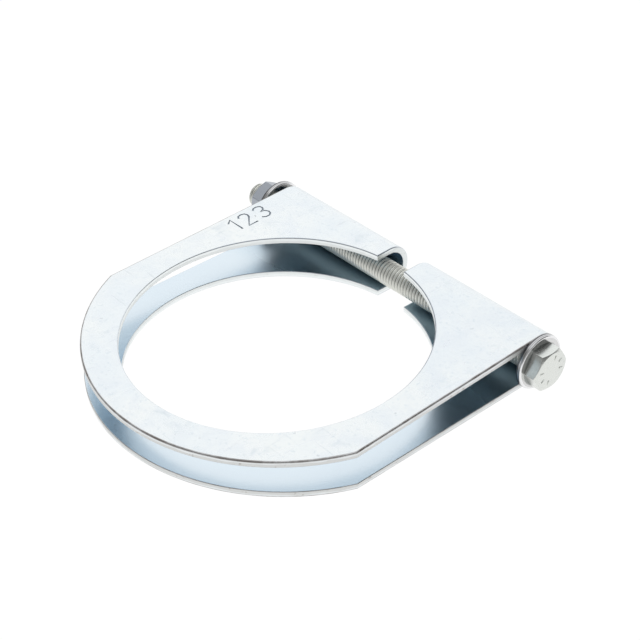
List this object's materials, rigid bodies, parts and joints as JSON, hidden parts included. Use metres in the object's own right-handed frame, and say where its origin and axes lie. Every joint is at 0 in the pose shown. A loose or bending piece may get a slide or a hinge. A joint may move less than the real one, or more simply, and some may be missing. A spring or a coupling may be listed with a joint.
{
  "type": "exhaust clamp",
  "caption": "Folded sheet-steel exhaust clamp: parallel C-shaped plates joined by a split fold, drawn shut round a pipe by a long hex bolt with flat washers and a nut.",
  "frame": {"origin": "centre of the pipe bore, half way between the plates", "axes": "+X along the bolt toward its head, +Y from the bore to the fold, +Z along the pipe"},
  "size_m": [0.1307, 0.1132, 0.017],
  "materials": {
    "zinc_sheet": "bright blue-white zinc plating, faintly mottled and scratched",
    "steel_fastener": "plain bright steel, slightly warm grey",
    "steel_washer": "plain bright steel"
  },
  "bodies": {
    "clamp": {"clamp_sheet": "zinc_sheet", "head_washer": "steel_washer"},
    "bolt": {"clamp_bolt": "steel_fastener"},
    "nut": {"hex_nut": "steel_fastener", "nut_washer": "steel_washer"}
  },
  "joints": [
    {"name": "bolt_turn", "type": "hinge", "parent": "clamp", "child": "bolt", "pos_m": [0, 0.0495, -0.0009], "axis": [1, 0, 0], "range_deg": [-540, 900]},
    {"name": "nut_travel", "type": "slide", "parent": "clamp", "child": "nut", "axis": [-1, 0, 0], "range_m": [-0.00187, 0.00313]}
  ],
  "couplings": [
    {"joint": "nut_travel", "follows": "bolt_turn", "m_per_rad": 0.00019894}
  ]
}
